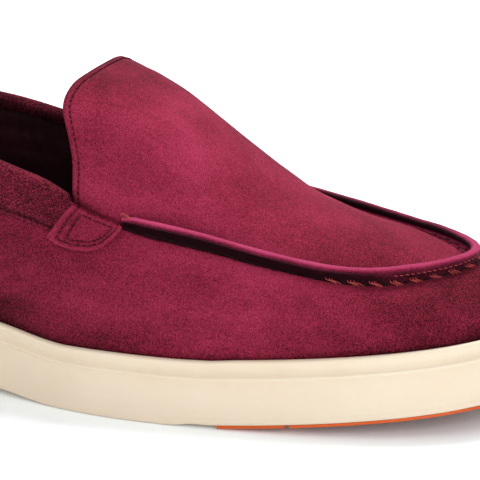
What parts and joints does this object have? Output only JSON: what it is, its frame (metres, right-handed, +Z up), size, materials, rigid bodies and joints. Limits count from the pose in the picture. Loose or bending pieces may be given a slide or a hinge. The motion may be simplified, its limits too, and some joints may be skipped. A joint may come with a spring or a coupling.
{
  "type": "slip-on loafer",
  "caption": "Moccasin-toe slip-on shoe for the right foot, with a raised toe seam, a plain tongue, side tabs, a padded collar and a rubber cup sole.",
  "frame": {"origin": "centre of the sole's footprint, on the ground", "axes": "+X towards the toe, +Y towards the inner (medial) side, +Z up"},
  "size_m": [0.3, 0.1058, 0.1122],
  "materials": {
    "cream_rubber": "matte moulded",
    "orange_rubber": "matte moulded",
    "foam": "open cell foam",
    "board": "pressed fibre board",
    "suede": "napped suede",
    "collar_suede": "coarse napped suede",
    "stiffener": "thermoformed sheet",
    "interlining": "felted",
    "lining": "smooth lining leather",
    "thread": "waxed thread"
  },
  "bodies": {
    "root": {"cup_sole": "cream_rubber", "tread_heel": "orange_rubber", "tread_ball": "orange_rubber", "tread_toe": "orange_rubber", "sole_filler": "foam", "insole_board": "board", "footbed_foam": "foam", "footbed_cover": "lining", "vamp_wall": "suede", "apron": "suede", "seam_roll": "suede", "tab_lateral": "suede", "tab_medial": "suede", "collar_lateral": "collar_suede", "collar_medial": "collar_suede", "heel_strip": "collar_suede", "collar_foam": "foam", "tongue_foam": "foam", "toe_puff": "stiffener", "heel_counter": "stiffener", "interlining_lateral": "interlining", "interlining_medial": "interlining", "apron_lining": "lining", "vamp_lining": "lining", "quarter_lining_lateral": "lining", "quarter_lining_medial": "lining", "heel_grip": "lining", "moc_thread": "thread", "roll_thread": "thread", "tongue_thread": "thread", "collar_thread_lateral": "thread", "collar_thread_medial": "thread", "tab_thread_lateral": "thread", "tab_thread_medial": "thread", "heel_thread_lateral": "thread", "heel_thread_medial": "thread"}
  },
  "joints": []
}
